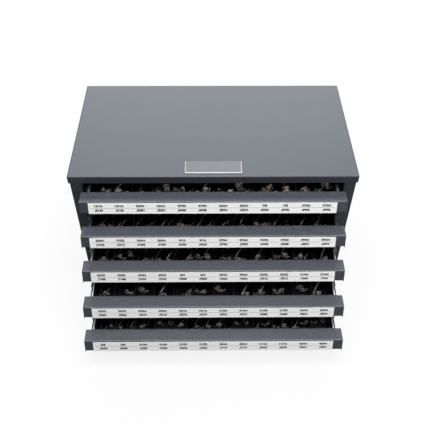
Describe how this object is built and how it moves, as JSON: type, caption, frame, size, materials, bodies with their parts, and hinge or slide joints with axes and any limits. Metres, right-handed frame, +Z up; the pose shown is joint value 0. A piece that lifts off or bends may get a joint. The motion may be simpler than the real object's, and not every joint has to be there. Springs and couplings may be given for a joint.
{
  "type": "drill bit drawer case",
  "caption": "Sheet-steel bench cabinet with shallow full-width drawers on slides, each divided into compartments for reduced-shank drill bits, with a size label on every leaning pull.",
  "frame": {"origin": "underside of the case, at the centre of its footprint", "axes": "+X to the right seen from the front, +Y to the back, +Z up; the drawers open towards -Y"},
  "size_m": [0.5, 0.4569, 0.286],
  "materials": {
    "case_paint": "satin dark blue-grey powder coat",
    "drawer_paint": "satin dark blue-grey powder coat",
    "handle_paint": "finely textured dark blue-grey powder coat",
    "zinc": "bright zinc plate",
    "glide_plastic": "black nylon",
    "label_card": "white card with dark grey figures",
    "name_plate": "frosted silver plastic, bare",
    "bit_steel": "black oxide with ground bright points"
  },
  "bodies": {
    "case": {"lid": "case_paint", "side_panel_left": "case_paint", "side_panel_right": "case_paint", "back_panel": "case_paint", "bottom_pan": "case_paint", "name_plate": "name_plate", "runner_left_1": "zinc", "runner_right_1": "zinc", "runner_left_2": "zinc", "runner_right_2": "zinc", "runner_left_3": "zinc", "runner_right_3": "zinc", "runner_left_4": "zinc", "runner_right_4": "zinc", "runner_left_5": "zinc", "runner_right_5": "zinc"},
    "drawer_1": {"drawer_1_tray": "drawer_paint", "drawer_1_dividers": "drawer_paint", "drawer_1_handle": "handle_paint", "drawer_1_label": "label_card", "drawer_1_rail_left": "zinc", "drawer_1_rail_right": "zinc", "drawer_1_glides": "glide_plastic", "drawer_1_bits": "bit_steel"},
    "drawer_2": {"drawer_2_tray": "drawer_paint", "drawer_2_dividers": "drawer_paint", "drawer_2_handle": "handle_paint", "drawer_2_label": "label_card", "drawer_2_rail_left": "zinc", "drawer_2_rail_right": "zinc", "drawer_2_glides": "glide_plastic", "drawer_2_bits": "bit_steel"},
    "drawer_3": {"drawer_3_tray": "drawer_paint", "drawer_3_dividers": "drawer_paint", "drawer_3_handle": "handle_paint", "drawer_3_label": "label_card", "drawer_3_rail_left": "zinc", "drawer_3_rail_right": "zinc", "drawer_3_glides": "glide_plastic", "drawer_3_bits": "bit_steel"},
    "drawer_4": {"drawer_4_tray": "drawer_paint", "drawer_4_dividers": "drawer_paint", "drawer_4_handle": "handle_paint", "drawer_4_label": "label_card", "drawer_4_rail_left": "zinc", "drawer_4_rail_right": "zinc", "drawer_4_glides": "glide_plastic", "drawer_4_bits": "bit_steel"},
    "drawer_5": {"drawer_5_tray": "drawer_paint", "drawer_5_dividers": "drawer_paint", "drawer_5_handle": "handle_paint", "drawer_5_label": "label_card", "drawer_5_rail_left": "zinc", "drawer_5_rail_right": "zinc", "drawer_5_glides": "glide_plastic", "drawer_5_bits": "bit_steel"}
  },
  "joints": [
    {"name": "drawer_1_slide", "type": "slide", "parent": "case", "child": "drawer_1", "axis": [0, -1, 0], "range_m": [-0.0095, 0.1905]},
    {"name": "drawer_2_slide", "type": "slide", "parent": "case", "child": "drawer_2", "axis": [0, -1, 0], "range_m": [-0.0448, 0.1552]},
    {"name": "drawer_3_slide", "type": "slide", "parent": "case", "child": "drawer_3", "axis": [0, -1, 0], "range_m": [-0.0822, 0.1178]},
    {"name": "drawer_4_slide", "type": "slide", "parent": "case", "child": "drawer_4", "axis": [0, -1, 0], "range_m": [-0.1236, 0.0764]},
    {"name": "drawer_5_slide", "type": "slide", "parent": "case", "child": "drawer_5", "axis": [0, -1, 0], "range_m": [-0.1612, 0.0388]}
  ]
}
